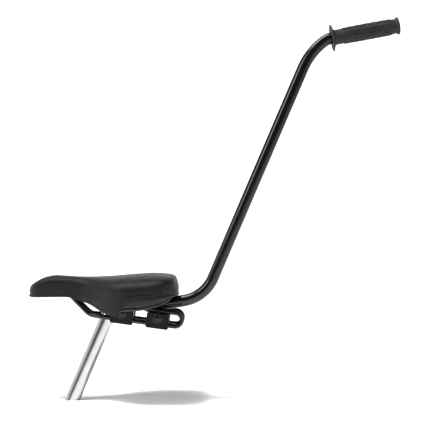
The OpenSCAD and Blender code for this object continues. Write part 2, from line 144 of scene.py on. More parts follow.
# Half width of the floor, how far back it ends, how high it rises there and its sweep's radius, in metres
FLOOR_HALF, FLOOR_BACK, FLOOR_HEIGHT, FLOOR_SWEEP = 9, 6, 5, 2.5

# Saddle outlines: share of the length from the nose, then a share of the half width
PLAN = [
    (0, 0.27), (0.07, 0.29), (0.2, 0.295), (0.3, 0.31), (0.36, 0.36), (0.42, 0.47), (0.48, 0.63),
    (0.54, 0.8), (0.6, 0.92), (0.66, 0.985), (0.74, 1), (0.84, 1), (0.92, 0.97), (1, 0.93),
]
# Drop of the middle line below the highest point, in mm
CROWN = [
    (0, 24), (0.015, 18.5), (0.055, 12.3), (0.095, 7.6), (0.135, 4.9), (0.175, 3.6), (0.25, 4.4),
    (0.335, 5.7), (0.42, 6), (0.5, 5.4), (0.58, 4.1), (0.66, 2.4), (0.74, 1.2), (0.82, 0.2),
    (0.88, 0.5), (0.92, 1.4), (0.96, 3.2), (0.98, 6.4), (1, 18),
]
# Drop of the shoulder below the middle line, in mm
SHOULDER = [
    (0, 6), (0.1, 7.5), (0.175, 8.7), (0.335, 10.2), (0.48, 13), (0.62, 18.5), (0.73, 20.5),
    (0.88, 16.5), (0.96, 10), (1, 6),
]
# Height of the cover's lower edge above the front bolt, in mm
COVER_EDGE = [
    (0, 23.2), (0.255, 23.7), (0.295, 22.2), (0.39, 15.7), (0.435, 11.7), (0.48, 6.2), (0.515, 2.7),
    (0.54, 0.7), (0.57, -0.8), (0.6, -0.4), (0.62, 4), (0.65, 11.5), (0.69, 17.5), (0.74, 20.5),
    (0.82, 21.7), (0.89, 24), (0.96, 26), (1, 26.2),
]
# Height of the base's lower edge behind the cover's lobes, in mm
BASE_EDGE = [
    (0.6, 1), (0.64, 5), (0.705, 6.7), (0.757, 6.9), (0.82, 9.7), (0.874, 12.2), (0.922, 16.2),
    (0.96, 20.6), (0.985, 25), (1, 26.6),
]
BASE_EDGE_START = 0.6
# Height of the base's lower edge above the cover's, in front of that, in mm
BASE_TUCK = 1
# Height of the saddle's highest point above the front bolt, in mm
SADDLE_RISE = 59.2
# Shares of the length over which the nose and the rear round off, and how square the rear is
NOSE_ROUND = 0.075
REAR_ROUND = 0.12
REAR_POWER = 2.2
# Least sizes of a cross-section, which keep the skins apart at the saddle's ends
END_DEPTH = 8 * MM
LEAST_HALF_W = 0.8 * MM
SHOULDER_OVER_EDGE = 3 * MM
# How low the shoulder sits, how far a side's points crowd towards its lower edge and how flat the hem is
SHOULDER_SHARE = 1.2
WALL_CROWDING = 1.7
HEM_FLATNESS = 0.6
# Cross-sections along the saddle, points along each stretch of one, and where the first one lies
STATIONS = 230
CROWN_POINTS, WALL_POINTS, HEM_POINTS = 26, 22, 6
NEAR_END = 0.0005

# Mouldings inside the saddle base, from the front bolt: half length, half width, lower end
REAR_BOSS = (13 * MM, 6.4 * MM, 10.6 * MM)
NOSE_BOSS = (17 * MM, 13.8 * MM, 24.8 * MM)
NOSE_BOSS_X = -87 * MM
# A boss's overlap with the base, corner radius and edge radius
BOSS_SINK = 1.5 * MM
BOSS_CORNER = 3 * MM
BOSS_EDGE = 1.2 * MM
# A rib's overlap with the base, and how far its tip is bevelled
RIB_SINK = 1 * MM
RIB_TIP = 0.4 * MM
# Thickness and depth of each kind of rib, then where it runs
CROSS_RIB = (1.8 * MM, 5 * MM)
LONG_RIB = (1.8 * MM, 5.5 * MM)
SPINE_RIB = (2.2 * MM, 6.5 * MM)
CROSS_RIBS_X = [8 * MM, 26 * MM, 44 * MM, 62 * MM]
CROSS_RIB_Y = (1 * MM, 48 * MM)
LONG_RIBS_Y = [14 * MM, 30 * MM]
LONG_RIB_X = (-8 * MM, 68 * MM)
SPINE_X = (-72 * MM, 74 * MM)
# How far along the rail the lip of each socket lies, and the lip's own sizes
NOSE_MOUTH = 7.4 * MM
REAR_MOUTH = 6.9 * MM
SOCKET_PLAY = 0.15 * MM
SOCKET_WALL = 1.6 * MM
SOCKET_RISE = 2.2 * MM
SOCKET_STEPS = 48


# ---------------------------------------------------------------- curves and meshes

def smooth_at(points, x):
    """A smooth curve through the points, read at x."""
    last = len(points) - 1
    i = 0
    while i < last - 1 and x > points[i + 1][0]:
        i += 1

    def rise(k):
        a, b = points[max(k - 1, 0)], points[min(k + 1, last)]
        return (b[1] - a[1]) / (b[0] - a[0])

    h = points[i + 1][0] - points[i][0]
    t = (x - points[i][0]) / h
    near = points[i][1] * (1 + 2 * t) * (1 - t) ** 2 + rise(i) * h * t * (1 - t) ** 2
    far = points[i + 1][1] * t * t * (3 - 2 * t) + rise(i + 1) * h * t * t * (t - 1)
    return near + far


def soft_step(low, high, x):
    """Rises smoothly from 0 at low to 1 at high."""
    t = min(max((x - low) / (high - low), 0), 1)
    return t * t * (3 - 2 * t)


def soft_band(rise_from, rise_to, fall_from, fall_to, x):
    """Rises smoothly to 1, stays there and falls to 0 again."""
    return soft_step(rise_from, rise_to, x) * (1 - soft_step(fall_from, fall_to, x))


def bump_line(x, centre, width):
    """A smooth ridge, 1 at its centre."""
    return math.exp(-((x - centre) / width) ** 2)


def new_object(name, bm, body):
    """Turns a bmesh into a smooth-shaded piece that rides on a body."""
    bmesh.ops.recalc_face_normals(bm, faces=bm.faces)
    for face in bm.faces:
        face.smooth = True
    mesh = bpy.data.meshes.new(name)
    bm.to_mesh(mesh)
    bm.free()
    piece = bpy.data.objects.new(name, mesh)
    bpy.context.scene.collection.objects.link(piece)
    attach(piece, body)
    return piece


def sharpen(piece, degrees=35):
    """Marks edges sharper than this, so that flat faces shade flat and rounds shade smooth."""
    piece.data.set_sharp_from_angle(angle=math.radians(degrees))


def skin_rings(bm, rings, closed_rings=True, caps=False):
    """Joins rows of points, one row to the next, with quads."""
    rows = [[bm.verts.new(p) for p in ring] for ring in rings]
    n = len(rings[0])
    for a, b in zip(rows, rows[1:]):
        for k in range(n if closed_rings else n - 1):
            j = (k + 1) % n
            bm.faces.new((a[k], a[j], b[j], b[k]))
    if caps:
        bm.faces.new(rows[0][::-1])
        bm.faces.new(rows[-1])
    return rows


def lathe(bm, profile, origin, axis, steps, proud=None):
    """Turns a closed profile of (radius, distance along the axis) round the axis.
    proud(distance, angle) gives what is added to the radius."""
    side = ACROSS.cross(axis).normalized()
    rings = []
    for i in range(steps):
        a = 2 * math.pi * i / steps
        out = side * math.cos(a) + ACROSS * math.sin(a)
        rings.append([origin + out * (r + (proud(s, a) if proud else 0)) + axis * s for r, s in profile])
    rings.append(rings[0])
    skin_rings(bm, rings)
    bmesh.ops.remove_doubles(bm, verts=bm.verts, dist=MERGE)


def arc_profile(cx, cy, r, start, end, steps):
    """Points along an arc, angles in degrees."""
    out = []
    for i in range(steps + 1):
        a = math.radians(start + (end - start) * i / steps)
        out.append((cx + r * math.cos(a), cy + r * math.sin(a)))
    return out


def rounded_path(corners, bends, step_deg):
    """Points along straight lengths joined by arcs of the given radii."""
    points = [corners[0]]
    for i in range(1, len(corners) - 1):
        before = (corners[i] - corners[i - 1]).normalized()
        after = (corners[i + 1] - corners[i]).normalized()
        turn = before.angle(after)
        cut = bends[i] * math.tan(turn / 2)
        inward = (after - before * before.dot(after)).normalized()
        centre = corners[i] - before * cut + inward * bends[i]
        steps = max(4, int(math.degrees(turn) / step_deg))
        for k in range(steps + 1):
            a = turn * k / steps
            points.append(centre - inward * bends[i] * math.cos(a) + before * bends[i] * math.sin(a))
    points.append(corners[-1])
    return points


def sweep(bm, points, outer_r, inner_r=0.0, around=48, edge=0.4 * MM):
    """Sweeps a round bar or tube along points, with softened end edges."""
    tangents = []
    for i in range(len(points)):
        a = points[max(i - 1, 0)]
        b = points[min(i + 1, len(points) - 1)]
        tangents.append((b - a).normalized())
    normal = tangents[0].orthogonal().normalized()
    frames = []
    for i, t in enumerate(tangents):
        if i:
            normal = (tangents[i - 1].rotation_difference(t) @ normal).normalized()
        normal = (normal - t * t.dot(normal)).normalized()
        frames.append((points[i], normal, t.cross(normal)))

    def ring(k, r, along=0.0):
        p, n, b = frames[k]
        steps = [2 * math.pi * j / around for j in range(around)]
        return [p + tangents[k] * along + (n * math.cos(a) + b * math.sin(a)) * r for a in steps]

    last = len(points) - 1
    soft = edge * 0.3
    rings = [ring(0, outer_r - edge), ring(0, outer_r - soft, soft), ring(0, outer_r, edge)]
    rings += [ring(k, outer_r) for k in range(1, last)]
    rings += [ring(last, outer_r, -edge), ring(last, outer_r - soft, -soft), ring(last, outer_r - edge)]
    if inner_r:
        rings += [ring(last, inner_r)]
        rings += [ring(k, inner_r) for k in range(last - 1, 0, -1)]
        rings += [ring(0, inner_r), rings[0]]
        skin_rings(bm, rings)
        bmesh.ops.remove_doubles(bm, verts=bm.verts, dist=MERGE)
    else:
        skin_rings(bm, rings, caps=True)


# ---------------------------------------------------------------- saddle surfaces

def half_width(u):
    """Half the saddle's width at the share u of its length from the nose."""
    nose = math.sqrt(max(0, 1 - (1 - u / NOSE_ROUND) ** 2)) if u < NOSE_ROUND else 1
    t = max(0, (u - 1 + REAR_ROUND) / REAR_ROUND)
    rear = max(0, 1 - t ** REAR_POWER) ** (1 / REAR_POWER)
    return SADDLE_HALF_W * smooth_at(PLAN, u) * nose * rear


def cover_edge(u):
    return smooth_at(COVER_EDGE, u) * MM


def base_edge(u):
    if u < BASE_EDGE_START:
        return (smooth_at(COVER_EDGE, u) + BASE_TUCK) * MM
    return smooth_at(BASE_EDGE, u) * MM


def bezier(a, b, c, d, t):
    """A point (y, z) of the curve from a to d that b and c pull on."""
    s = 1 - t
    shares = (s ** 3, 3 * t * s * s, 3 * t * t * s, t ** 3)
    return tuple(sum(share * point[i] for share, point in zip(shares, (a, b, c, d))) for i in (0, 1))


def half_section(u, side_in, top_in, edge):
    """From the middle line out over the shoulder and down to the lower edge, as (y, z)."""
    w = max(half_width(u) - side_in, LEAST_HALF_W)
    top = (SADDLE_RISE - smooth_at(CROWN, u)) * MM - top_in
    top = max(top, cover_edge(u) + END_DEPTH - top_in / 4)
    drop = smooth_at(SHOULDER, u) * MM
    low = edge(u)
    shoulder = max(top - SHOULDER_SHARE * drop, cover_edge(u) + SHOULDER_OVER_EDGE)
    crown = ((0, top), (0.5 * w, top), (w, top - 0.25 * drop), (w, shoulder))
    out = [bezier(*crown, k / CROWN_POINTS) for k in range(CROWN_POINTS + 1)]
    for k in range(1, WALL_POINTS + 1):
        t = 1 - (1 - k / WALL_POINTS) ** WALL_CROWDING
        out.append((w, shoulder + (low - shoulder) * t))
    return out


def base_inside(x, y):
    """Height of the base's inner skin over the point (x, y)."""
    u = 1 - (SADDLE_HIGH.x - BASE_IN[0] - x) / (SADDLE_LEN - 2 * BASE_IN[0])
    line = half_section(min(max(u, 2 * NEAR_END), 1 - 2 * NEAR_END), *BASE_IN, base_edge)
    y = abs(y)
    for (y0, z0), (y1, z1) in zip(line, line[1:]):
        if y0 <= y <= y1 and y1 > y0:
            return FRONT_BOLT.z + z0 + (z1 - z0) * (y - y0) / (y1 - y0)
    return FRONT_BOLT.z + line[-1][1]


def station_x(u, inset):
    """Where a skin set in from the saddle's outline has its share u of the length."""
    return SADDLE_HIGH.x - inset[0] - (SADDLE_LEN - 2 * inset[0]) * (1 - u)


def half_ring(u, outer, inner, edge):
    """Half of a shell's cross-section: down the outer skin, round the hem and up the inner skin."""
    out = half_section(u, *outer, edge)
    inn = half_section(u, *inner, edge)
    x_out, x_in = station_x(u, outer), station_x(u, inner)
    half = [(x_out, y, z) for y, z in out]
    (y_out, z_out), (y_in, z_in) = out[-1], inn[-1]
    r = abs(y_out - y_in) / 2
    for k in range(1, HEM_POINTS):
        t = math.pi * k / HEM_POINTS
        x = x_out + (x_in - x_out) * (1 - math.cos(t)) / 2
        low = (z_out + z_in) / 2 - HEM_FLATNESS * r * math.sin(t)
        half.append((x, (y_out + y_in) / 2 + r * math.cos(t), low))
    return half + [(x_in, y, z) for y, z in reversed(inn)]


def close_end(bm, row):
    """Fills the thin end of a shell with quads from one side to the other."""
    n = len(row)
    for k in range(n // 2):
        corners = []
        for v in (row[k], row[k + 1], row[(n - k - 1) % n], row[(n - k) % n]):
            if v not in corners:
                corners.append(v)
        if len(corners) > 2:
            bm.faces.new(corners)


def saddle_shell(bm, outer, inner, edge, relief=None):
    """A closed shell between two saddle skins, with a rounded lower hem.
    relief(u, height above the edge, side, point) gives how far the outer skin stands proud."""
    lift = FRONT_BOLT.z
    shares, rings = [], []
    for i in range(STATIONS + 1):
        t = i / STATIONS
        u = NEAR_END + (1 - 2 * NEAR_END) * (t + (1 - math.cos(math.pi * t)) / 2) / 2
        half = half_ring(u, outer, inner, edge)
        right = [Vector((x, -y, z + lift)) for x, y, z in half]
        left = [Vector((x, y, z + lift)) for x, y, z in reversed(half)]
        shares.append(u)
        rings.append(right + left[1:-1])
    rows = skin_rings(bm, rings)
    close_end(bm, rows[0])
    close_end(bm, rows[-1])
    if relief:
        raise_skin(bm, rows, shares, edge, relief)


def raise_skin(bm, rows, shares, edge, relief):
    """Moves a shell's outer skin out along its normals by its relief."""
    bmesh.ops.recalc_face_normals(bm, faces=bm.faces)
    bm.normal_update()
    outer_n = CROWN_POINTS + 1 + WALL_POINTS
    moves = []
    for row, u in zip(rows, shares):
        n = len(row)
        half_n = n // 2 + 1
        low = edge(u) + FRONT_BOLT.z
        for k, v in enumerate(row):
            side = 1 if k < half_n else -1
            if (k if k < half_n else n - k) < outer_n:
                moves.append((v, v.normal * relief(u, v.co.z - low, side, v.co)))
    for v, move in moves:
        v.co += move


# ---------------------------------------------------------------- materials

def graph(name):
    """A new material with its node tree, its shader and the object's own coordinates."""
    mat = bpy.data.materials.new(name)
    mat.use_nodes = True
    tree = mat.node_tree
    shader = tree.nodes["Principled BSDF"]
    where = tree.nodes.new("ShaderNodeTexCoord").outputs["Object"]
    return mat, tree, shader, where


def noise_at(tree, where, scale, detail=4, stretch=None):
    if stretch:
        scaled = tree.nodes.new("ShaderNodeMapping")
        scaled.inputs["Scale"].default_value = stretch
        tree.links.new(where, scaled.inputs["Vector"])
        where = scaled.outputs["Vector"]
    tex = tree.nodes.new("ShaderNodeTexNoise")
    tex.inputs["Scale"].default_value = scale
    tex.inputs["Detail"].default_value = detail
    tree.links.new(where, tex.inputs["Vector"])
    return tex.outputs["Fac"]


def cells_at(tree, where, scale):
    tex = tree.nodes.new("ShaderNodeTexVoronoi")
    tex.inputs["Scale"].default_value = scale
    tree.links.new(where, tex.inputs["Vector"])
    return tex.outputs["Distance"]


def spread(tree, value, low, high, start=0.3, end=0.7):
    """Maps a texture's start..end on to low..high."""
    node = tree.nodes.new("ShaderNodeMapRange")
    node.inputs["From Min"].default_value = start
    node.inputs["From Max"].default_value = end
    node.inputs["To Min"].default_value = low
    node.inputs["To Max"].default_value = high
    tree.links.new(value, node.inputs["Value"])
    return node.outputs["Result"]


def tint(tree, value, dark, light, start=0.3, end=0.7):
    """A colour from dark to light, driven by a texture."""
    ramp = tree.nodes.new("ShaderNodeValToRGB")
    ramp.color_ramp.elements[0].position = start
    ramp.color_ramp.elements[1].position = end
    ramp.color_ramp.elements[0].color = (*dark, 1)
    ramp.color_ramp.elements[1].color = (*light, 1)
    tree.links.new(value, ramp.inputs["Fac"])
    return ramp.outputs["Color"]


def bumped(tree, shader, layers):
    """Stacks bump layers of (texture, distance in metres, strength)."""
    normal = None
    for value, distance, strength in layers:
        node = tree.nodes.new("ShaderNodeBump")
        node.inputs["Distance"].default_value = distance
        node.inputs["Strength"].default_value = strength
        tree.links.new(value, node.inputs["Height"])
        if normal:
            tree.links.new(normal, node.inputs["Normal"])
        normal = node.outputs["Normal"]
    tree.links.new(normal, shader.inputs["Normal"])


def vinyl_material():
    mat, tree, shader, where = graph("vinyl")
    warped = noise_at(tree, where, 60, 3)
    grain = cells_at(tree, where, 950)
    fine = noise_at(tree, where, 2400, 2)
    colour = tint(tree, warped, (0.003, 0.003, 0.0033), (0.007, 0.007, 0.0074))
    tree.links.new(colour, shader.inputs["Base Color"])
    tree.links.new(spread(tree, noise_at(tree, where, 220, 5), 0.46, 0.56), shader.inputs["Roughness"])
    shader.inputs["Specular IOR Level"].default_value = 0.26
    bumped(tree, shader, [(warped, 0.0006, 0.35), (grain, 0.00025, 0.45), (fine, 0.00008, 0.3)])
    return mat


def foam_material():
    mat, tree, shader, where = graph("foam")
    cells = cells_at(tree, where, 1100)
    colour = tint(tree, cells, (0.03, 0.03, 0.029), (0.11, 0.11, 0.105), 0.1, 0.5)
    tree.links.new(colour, shader.inputs["Base Color"])
    tree.links.new(spread(tree, cells, 0.85, 0.95), shader.inputs["Roughness"])
    bumped(tree, shader, [(cells, 0.0004, 0.8)])
    return mat


def moulded_material():
    mat, tree, shader, where = graph("moulded_plastic")
    fine = noise_at(tree, where, 1500, 3)
    flow = noise_at(tree, where, 40, 4, (1, 3, 3))
    colour = tint(tree, flow, (0.009, 0.009, 0.0098), (0.015, 0.015, 0.016))
    tree.links.new(colour, shader.inputs["Base Color"])
    tree.links.new(spread(tree, fine, 0.42, 0.56), shader.inputs["Roughness"])
    bumped(tree, shader, [(fine, 0.0001, 0.5), (flow, 0.0004, 0.12)])
    return mat


def gloss_black_material(name, wear=0.0, rough=0.2):
    """Sprayed and baked gloss paint, with orange peel and light rub marks."""
    mat, tree, shader, where = graph(name)
    peel = noise_at(tree, where, 420, 2)
    scuff = noise_at(tree, where, 130, 8, (1, 4, 1))
    rubbed = (0.003 + wear, 0.003 + wear, 0.0033 + wear)
    colour = tint(tree, scuff, (0.002, 0.002, 0.0023), rubbed, 0.55, 0.85)
    tree.links.new(colour, shader.inputs["Base Color"])
    tree.links.new(spread(tree, scuff, rough, rough + 0.1, 0.45, 0.75), shader.inputs["Roughness"])
    bumped(tree, shader, [(peel, 0.00008, 0.18)])
    return mat


def pressed_steel_material():
    """Satin black paint over pressed steel, paler at rubbed patches."""
    mat, tree, shader, where = graph("clamp_paint")
    patch = noise_at(tree, where, 160, 7)
    fine = noise_at(tree, where, 1800, 2)
    colour = tint(tree, patch, (0.0025, 0.0025, 0.0028), (0.008, 0.008, 0.0084), 0.45, 0.75)
    tree.links.new(colour, shader.inputs["Base Color"])
    tree.links.new(spread(tree, patch, 0.3, 0.44), shader.inputs["Roughness"])
    shader.inputs["Specular IOR Level"].default_value = 0.22
    bumped(tree, shader, [(fine, 0.00006, 0.4), (patch, 0.0002, 0.2)])
    return mat


def zinc_material():
    """Black passivated zinc plate on the fasteners."""
    mat, tree, shader, where = graph("black_zinc")
    patch = noise_at(tree, where, 500, 5)
    colour = tint(tree, patch, (0.018, 0.018, 0.0188), (0.05, 0.05, 0.0495))
    tree.links.new(colour, shader.inputs["Base Color"])
    tree.links.new(spread(tree, patch, 0.26, 0.42), shader.inputs["Roughness"])
    shader.inputs["Metallic"].default_value = 0.9
    bumped(tree, shader, [(noise_at(tree, where, 2500, 2), 0.00004, 0.4)])
    return mat


def aluminium_material():
    """Drawn and polished tube, with fine lines along it and faint cloudy patches."""
    mat, tree, shader, where = graph("satin_silver")
    lines = noise_at(tree, where, 900, 3, (1, 1, 0.03))
    marks = noise_at(tree, where, 45, 5)
    colour = tint(tree, marks, (0.46, 0.46, 0.47), (0.54, 0.54, 0.55))
    tree.links.new(colour, shader.inputs["Base Color"])
    tree.links.new(spread(tree, marks, 0.17, 0.25), shader.inputs["Roughness"])
    shader.inputs["Metallic"].default_value = 1
    bumped(tree, shader, [(lines, 0.00001, 0.3)])
    return mat


def staple_material():
    mat, tree, shader, where = graph("staple_steel")
    patch = noise_at(tree, where, 1500, 4)
    colour = tint(tree, patch, (0.42, 0.42, 0.42), (0.6, 0.6, 0.59))
    tree.links.new(colour, shader.inputs["Base Color"])
    tree.links.new(spread(tree, patch, 0.25, 0.4), shader.inputs["Roughness"])
    shader.inputs["Metallic"].default_value = 1
    bumped(tree, shader, [(patch, 0.00003, 0.3)])
    return mat


def rubber_material():
    mat, tree, shader, where = graph("grip_rubber")
    fine = noise_at(tree, where, 1400, 4)
    patch = noise_at(tree, where, 70, 5)
    colour = tint(tree, patch, (0.02, 0.02, 0.0205), (0.034, 0.034, 0.034))
    tree.links.new(colour, shader.inputs["Base Color"])
    tree.links.new(spread(tree, fine, 0.62, 0.78), shader.inputs["Roughness"])
    shader.inputs["Specular IOR Level"].default_value = 0.25
    bumped(tree, shader, [(fine, 0.00012, 0.2)])
    return mat


def floor_material():
    mat, tree, shader, where = graph("floor")
    soft = noise_at(tree, where, 3, 2)
    colour = tint(tree, soft, (0.86, 0.86, 0.86), (0.88, 0.88, 0.88))
    tree.links.new(colour, shader.inputs["Base Color"])
    shader.inputs["Roughness"].default_value = 0.9
    shader.inputs["Emission Color"].default_value = (1, 1, 1, 1)
    shader.inputs["Emission Strength"].default_value = 0.02
    return mat


VINYL = vinyl_material()
FOAM = foam_material()
MOULDED = moulded_material()
TUBE_PAINT = gloss_black_material("handle_paint", 0.003, 0.17)
RAIL_PAINT = gloss_black_material("rail_paint", 0.005, 0.28)
CLAMP_PAINT = pressed_steel_material()
ZINC = zinc_material()
SILVER = aluminium_material()
STAPLE = staple_material()
RUBBER = rubber_material()


def painted(piece, mat):
    piece.data.materials.clear()
    piece.data.materials.append(mat)
    return piece


# ---------------------------------------------------------------- saddle

def cover_relief(u, height, side, point):
    """Rolled hem with a groove over it, folds along the rear, gathers round the corners, uneven top."""
    hem = 0.7 * bump_line(height, 1.6 * MM, 1.5 * MM) - 0.75 * bump_line(height, 4.6 * MM, 1.1 * MM)
    fold_at = 7.5 * MM + 3 * MM * math.sin(9 * u + side)
    fold = 0.38 * bump_line(height, fold_at, 1.4 * MM) * soft_band(0.66, 0.74, 0.95, 0.99, u)
    second = 0.16 * bump_line(height, fold_at + 5 * MM, 2 * MM) * soft_band(0.74, 0.8, 0.88, 0.93, u)
    corner = bump_line(u, 0.62, 0.035) + 0.8 * bump_line(u, 0.93, 0.05) + 0.35
    wave = noise.noise(Vector((point.x * 300, point.z * 40, side * 5.0)))
    gather = 0.5 * wave * corner * math.exp(-max(height, 0) / (7 * MM)) * soft_step(0, 3 * MM, height)
    broad = 0.45 * noise.noise(Vector((point.x * 22, point.y * 22, point.z * 30 + 7)))
    broad += 0.16 * noise.noise(Vector((point.x * 70, point.y * 70, point.z * 70 + 3)))
    keep = soft_step(4 * MM, 14 * MM, height) * soft_band(0, 0.03, 0.97, 1, u)
    return (hem - fold - second + gather + broad * keep) * MM


def base_relief(u, height, side, point):
    """A bead round the lower edge of the base's rear, and a shallow groove over it."""
    bead = 0.9 * bump_line(height, 1.3 * MM, 1.5 * MM)
    groove = 0.3 * bump_line(height, 4.6 * MM, 1.2 * MM)
    return soft_step(0.6, 0.64, u) * (bead - groove) * MM


def boss(bm, x, y, size):
    """A block with round corners under the base's inside, which a rail's end goes into."""
    half_x, half_y, lower_end = size
    low = FRONT_BOLT.z + lower_end
    outline = []
    for sx, sy, start in ((1, 1, 0), (-1, 1, 90), (-1, -1, 180), (1, -1, 270)):
        corner_x, corner_y = x + sx * (half_x - BOSS_CORNER), y + sy * (half_y - BOSS_CORNER)
        for a in range(start, start + 91, 15):
            outline.append((corner_x, corner_y, math.cos(math.radians(a)), math.sin(math.radians(a))))
    rings = []
    for shrink, rise in ((BOSS_EDGE, 0), (BOSS_EDGE * 0.3, BOSS_EDGE * 0.3), (0, BOSS_EDGE)):
        r = BOSS_CORNER - shrink
        rings.append([Vector((cx + c * r, cy + s * r, low + rise)) for cx, cy, c, s in outline])
    top = [(cx + c * BOSS_CORNER, cy + s * BOSS_CORNER) for cx, cy, c, s in outline]
    rings.append([Vector((tx, ty, base_inside(tx, ty) + BOSS_SINK)) for tx, ty in top])
    skin_rings(bm, rings, caps=True)


def straight(start, end, steps):
    """Evenly spaced points from start to end."""
    return [tuple(a + (b - a) * k / steps for a, b in zip(start, end)) for k in range(steps + 1)]


def rib(bm, path, size):
    """A thin moulded wall that hangs from the base's inside along a path of (x, y)."""
    thick, depth = size
    rings = []
    for i, (x, y) in enumerate(path):
        a, b = path[max(i - 1, 0)], path[min(i + 1, len(path) - 1)]
        along = Vector((b[0] - a[0], b[1] - a[1], 0)).normalized()
        out = Vector((-along.y, along.x, 0)) * thick / 2
        roof = base_inside(x, y) + RIB_SINK
        fade = min(1, 0.25 + 4 * min(i, len(path) - 1 - i) / len(path))
        low = roof - depth * fade
        outline = ((1, roof), (1, low + RIB_TIP), (0.4, low), (-0.4, low), (-1, low + RIB_TIP), (-1, roof))
        rings.append([Vector((x, y, z)) + out * share for share, z in outline])
    skin_rings(bm, rings, caps=True)


def socket_collar(bm, point, along, r):
    """The raised lip round a hole that a rail goes into."""
    wide, rise = r + SOCKET_WALL, SOCKET_RISE
    profile = [
        (r, 0), (r, rise - 0.4 * MM), (r + 0.4 * MM, rise), (wide - 0.5 * MM, rise),
        (wide, rise - 0.5 * MM), (wide, 0), (r, 0),
    ]
    lathe(bm, profile, point, along, SOCKET_STEPS)


def build_cover():
    bm = bmesh.new()
    saddle_shell(bm, (0, 0), COVER_IN, cover_edge, cover_relief)
    cover = painted(new_object("saddle_cover_vinyl", bm, "saddle"), VINYL)
    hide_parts("saddle_cover")


def build_pad():
    bm = bmesh.new()
    outer = [inset + PAD_PLAY for inset in COVER_IN]
    inner = [inset - PAD_PLAY for inset in PAD_IN]
    saddle_shell(bm, outer, inner, cover_edge)
    pad = painted(new_object("saddle_foam", bm, "saddle"), FOAM)
    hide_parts("saddle_pad")


def add_ribs(bm):
    """Two long ribs and four cross ribs on each side, and one spine down the middle."""
    bolt_x = FRONT_BOLT.x
    for side in (-1, 1):
        for y in LONG_RIBS_Y:
            ends = [(bolt_x + x, side * y) for x in LONG_RIB_X]
            rib(bm, straight(*ends, 30), LONG_RIB)
    for x in CROSS_RIBS_X:
        for side in (-1, 1):
            ends = [(bolt_x + x, side * y) for y in CROSS_RIB_Y]
            rib(bm, straight(*ends, 24), CROSS_RIB)
    ends = [(bolt_x + x, 0) for x in SPINE_X]
    rib(bm, straight(*ends, 50), SPINE_RIB)


def add_sockets(bm):
    """Lips round the four holes that the rails' ends go into."""
    nose = (NOSE_SOCKET, NOSE_BEND, NOSE_MOUTH)
    rear = (REAR_SOCKET, on_rail(FLARE_START, LOOP_H), REAR_MOUTH)
    for side in (-1, 1):
        for end, corner, depth in (nose, rear):
            along = (corner - end).normalized()
            mouth = end + along * depth
            place = FRONT_BOLT + Vector((mouth.x, mouth.y * side, mouth.z))
            socket_collar(bm, place, Vector((along.x, along.y * side, along.z)), RAIL_R + SOCKET_PLAY)


def build_base():
    bm = bmesh.new()
    saddle_shell(bm, PAD_IN, BASE_IN, base_edge, base_relief)
    for side in (-1, 1):
        boss(bm, FRONT_BOLT.x + REAR_SOCKET.x, side * REAR_SOCKET.y, REAR_BOSS)
    boss(bm, FRONT_BOLT.x + NOSE_BOSS_X, 0, NOSE_BOSS)
    add_ribs(bm)
    add_sockets(bm)
    base = painted(new_object("saddle_base_moulding", bm, "saddle"), MOULDED)
    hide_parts("saddle_base")
    sharpen(base, 40)


def on_rail(s, up):
    """A point of the left rail, s along it and so far over its lower run, from the front bolt."""
    return ACROSS * RAIL_Y + RAIL_ALONG * s + RAIL_UP * (up - RAIL_DROP)


def build_rails():
    loop_at = RAIL_RUN + LOOP_H / 2
    corners = [
        NOSE_SOCKET, NOSE_BEND, on_rail(TAPER_START, 0), on_rail(loop_at, 0), on_rail(loop_at, LOOP_H),
        on_rail(FLARE_START, LOOP_H), REAR_SOCKET,
    ]
    for side, name in ((1, "left"), (-1, "right")):
        bm = bmesh.new()
        middle = rounded_path(corners, RAIL_BENDS, 3)
        path = [FRONT_BOLT + Vector((p.x, p.y * side, p.z)) for p in middle]
        sweep(bm, path, RAIL_R)
        wire = painted(new_object("rail_wire_" + name, bm, "saddle"), RAIL_PAINT)
        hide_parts("rail_" + name)
        sharpen(wire)


# ---------------------------------------------------------------- post, handle and grip

def build_post():
    """The post is cut level at its lower end, as it stands on the floor."""
    bm = bmesh.new()
    side = ACROSS.cross(POST_AXIS).normalized()
    inner = POST_R - POST_WALL
    lip = POST_LEN - POST_EDGE

    def ring(r, top=None):
        out = []
        for k in range(POST_STEPS):
            a = 2 * math.pi * k / POST_STEPS
            off = (side * math.cos(a) + ACROSS * math.sin(a)) * r
            if top is None:
                out.append(off - POST_AXIS * (off.z / POST_AXIS.z))
            else:
                out.append(off + POST_AXIS * top)
        return out

    steps = [i / 24 for i in range(25)]
    plain_run = NECK_START - NECK_SLOPE - FOOT_ABOVE_CUT
    rings = [ring(inner), ring(POST_R)]
    rings += [ring(POST_R, FOOT_ABOVE_CUT + plain_run * t) for t in steps]
    rings.append(ring(POST_NECK_R, NECK_START))
    for a in (0, math.pi / 6, math.pi / 3, math.pi / 2):
        rings.append(ring(POST_NECK_R - POST_EDGE * (1 - math.cos(a)), lip + POST_EDGE * math.sin(a)))
    rings += [ring(inner + POST_BORE_EDGE, POST_LEN), ring(inner, POST_LEN - POST_BORE_EDGE)]
    rings += [ring(inner, FOOT_ABOVE_CUT + (lip - FOOT_ABOVE_CUT) * t) for t in reversed(steps)]
    rings.append(rings[0])
    skin_rings(bm, rings)
    bmesh.ops.remove_doubles(bm, verts=bm.verts, dist=MERGE)
    post = painted(new_object("seat_post_tube", bm, "seat_post"), SILVER)
    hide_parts("seat_post")
    sharpen(post)


def sloped(degrees):
    """A direction to the rear, raised by so many degrees."""
    a = math.radians(degrees)
    return Vector((math.cos(a), 0, math.sin(a)))


